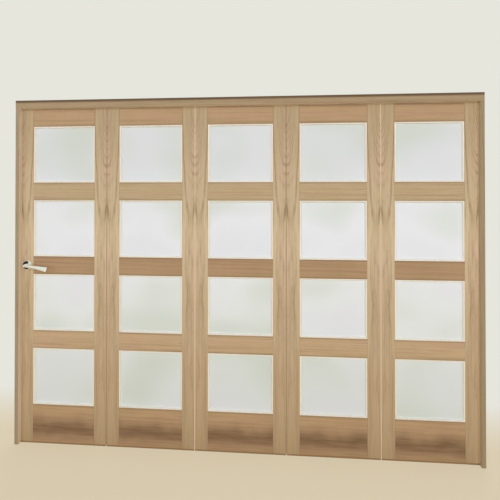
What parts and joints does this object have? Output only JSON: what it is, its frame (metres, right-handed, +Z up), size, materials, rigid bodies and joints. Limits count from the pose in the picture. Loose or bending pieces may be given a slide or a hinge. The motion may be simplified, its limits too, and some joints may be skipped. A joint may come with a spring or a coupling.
{
  "type": "internal bifold door",
  "caption": "Glazed oak folding door in its lining, with shaker leaves holding frosted panes, a top track and a chrome lever handle; it closes a wide opening between two rooms.",
  "frame": {"origin": "left jamb's outer face, at floor level and in the middle of the lining's depth", "axes": "+X along the wall from the lever side to the hung side, +Y through the wall away from the viewer of the picture, +Z up"},
  "size_m": [2.694, 0.1622, 2.042],
  "materials": {
    "oak_stile": "clear satin lacquer on light oak, vertical cathedral grain",
    "oak_rail": "clear satin lacquer on light oak, horizontal grain",
    "oak_bead": "pale splayed beads round the glass",
    "oak_lining": "clear satin lacquer on oak, a little darker than the leaves",
    "frosted_glass": "acid-etched white, satin on both sides",
    "anodised_aluminium": "satin anodised",
    "satin_steel": "satin",
    "polished_chrome": "polished"
  },
  "bodies": {
    "door_set": {"leaf_1_stile_left": "oak_stile", "leaf_1_stile_right": "oak_stile", "leaf_1_rails": "oak_rail", "leaf_1_panes": "frosted_glass", "leaf_1_beads": "oak_bead", "leaf_2_stile_left": "oak_stile", "leaf_2_stile_right": "oak_stile", "leaf_2_rails": "oak_rail", "leaf_2_panes": "frosted_glass", "leaf_2_beads": "oak_bead", "leaf_3_stile_left": "oak_stile", "leaf_3_stile_right": "oak_stile", "leaf_3_rails": "oak_rail", "leaf_3_panes": "frosted_glass", "leaf_3_beads": "oak_bead", "leaf_4_stile_left": "oak_stile", "leaf_4_stile_right": "oak_stile", "leaf_4_rails": "oak_rail", "leaf_4_panes": "frosted_glass", "leaf_4_beads": "oak_bead", "leaf_5_stile_left": "oak_stile", "leaf_5_stile_right": "oak_stile", "leaf_5_rails": "oak_rail", "leaf_5_panes": "frosted_glass", "leaf_5_beads": "oak_bead", "jamb_left": "oak_lining", "jamb_right": "oak_lining", "head": "oak_lining", "top_track": "anodised_aluminium", "hinges_leaf_1_2": "satin_steel", "hinges_leaf_2_3": "satin_steel", "hinges_leaf_3_4": "satin_steel", "hinges_leaf_4_5": "satin_steel", "hinges_leaf_5_jamb": "satin_steel", "track_hangers": "satin_steel", "top_pivot": "satin_steel", "floor_pivot": "satin_steel", "latch_forend": "satin_steel", "strike_plate": "satin_steel", "rose_front": "polished_chrome", "rose_back": "polished_chrome"},
    "lever": {"lever_front": "polished_chrome", "lever_back": "polished_chrome", "spindle": "satin_steel"}
  },
  "joints": [
    {"name": "lever_turn", "type": "hinge", "parent": "door_set", "child": "lever", "pos_m": [0.0635, 0, 1.06], "axis": [0, 1, 0], "range_deg": [0, 45], "stiffness_Nm_per_rad": 1.5, "springref_deg": -40.11}
  ]
}
